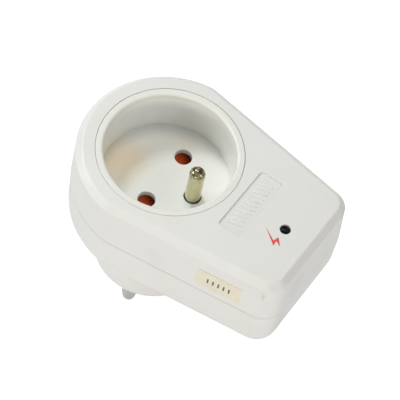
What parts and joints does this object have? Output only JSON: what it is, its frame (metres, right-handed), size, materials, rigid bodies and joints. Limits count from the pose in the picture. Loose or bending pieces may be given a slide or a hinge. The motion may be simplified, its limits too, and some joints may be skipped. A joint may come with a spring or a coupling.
{
  "type": "surge protector adaptor",
  "caption": "Plug-in surge protector adaptor: a shuttered round recessed socket with an earth pin, a filter box with an indicator light, and a plug with side earth clips.",
  "frame": {"origin": "centre of the plug's face, on the axis of the plug and the socket", "axes": "+Z out of the socket, away from the wall; +X towards the box end; +Y along the line of the pins"},
  "size_m": [0.0802, 0.0562, 0.0745],
  "materials": {
    "casing": "smooth white moulding, slightly satin",
    "insert": "smooth white moulding, a little warmer than the casing",
    "nickel": "nickel-plated, polished",
    "inner_plastic": "natural moulding",
    "shutter": "red-brown moulding",
    "spring_steel": "drawn wire",
    "brass": "stamped sheet",
    "board": "phenolic board",
    "varistor": "dipped coating",
    "fuse_metal": "plain metal case",
    "capacitor": "moulded box",
    "led": "dark green lens",
    "resistor": "lacquered body",
    "diode": "black moulding",
    "brown_wire": "insulation",
    "blue_wire": "insulation",
    "earth_wire": "insulation",
    "screw_steel": "zinc-plated"
  },
  "bodies": {
    "housing": {"front_cover": "casing", "rear_cover": "casing", "plug_body": "casing", "socket_well": "insert", "socket_earth_pin": "nickel", "inner_plate": "inner_plastic", "shutter_spring": "spring_steel", "live_contact": "brass", "neutral_contact": "brass", "live_pin": "nickel", "neutral_pin": "nickel", "earth_tube": "brass", "earth_strap": "brass", "circuit_board": "board", "varistor_live_neutral": "varistor", "varistor_live_earth": "varistor", "varistor_neutral_earth": "varistor", "thermal_fuse": "fuse_metal", "suppression_capacitor": "capacitor", "indicator_led": "led", "led_resistor": "resistor", "led_diode": "diode", "live_wire": "brown_wire", "neutral_wire": "blue_wire", "earth_wire": "earth_wire", "casing_screws": "screw_steel", "board_screws": "screw_steel"},
    "shutter": {"shutter": "shutter"}
  },
  "joints": [
    {"name": "shutter_slide", "type": "slide", "parent": "housing", "child": "shutter", "axis": [-1, 0, 0], "range_m": [0, 0.0058], "stiffness_N_per_m": 120, "springref_m": -0.004, "deforming": ["shutter_spring"]}
  ]
}
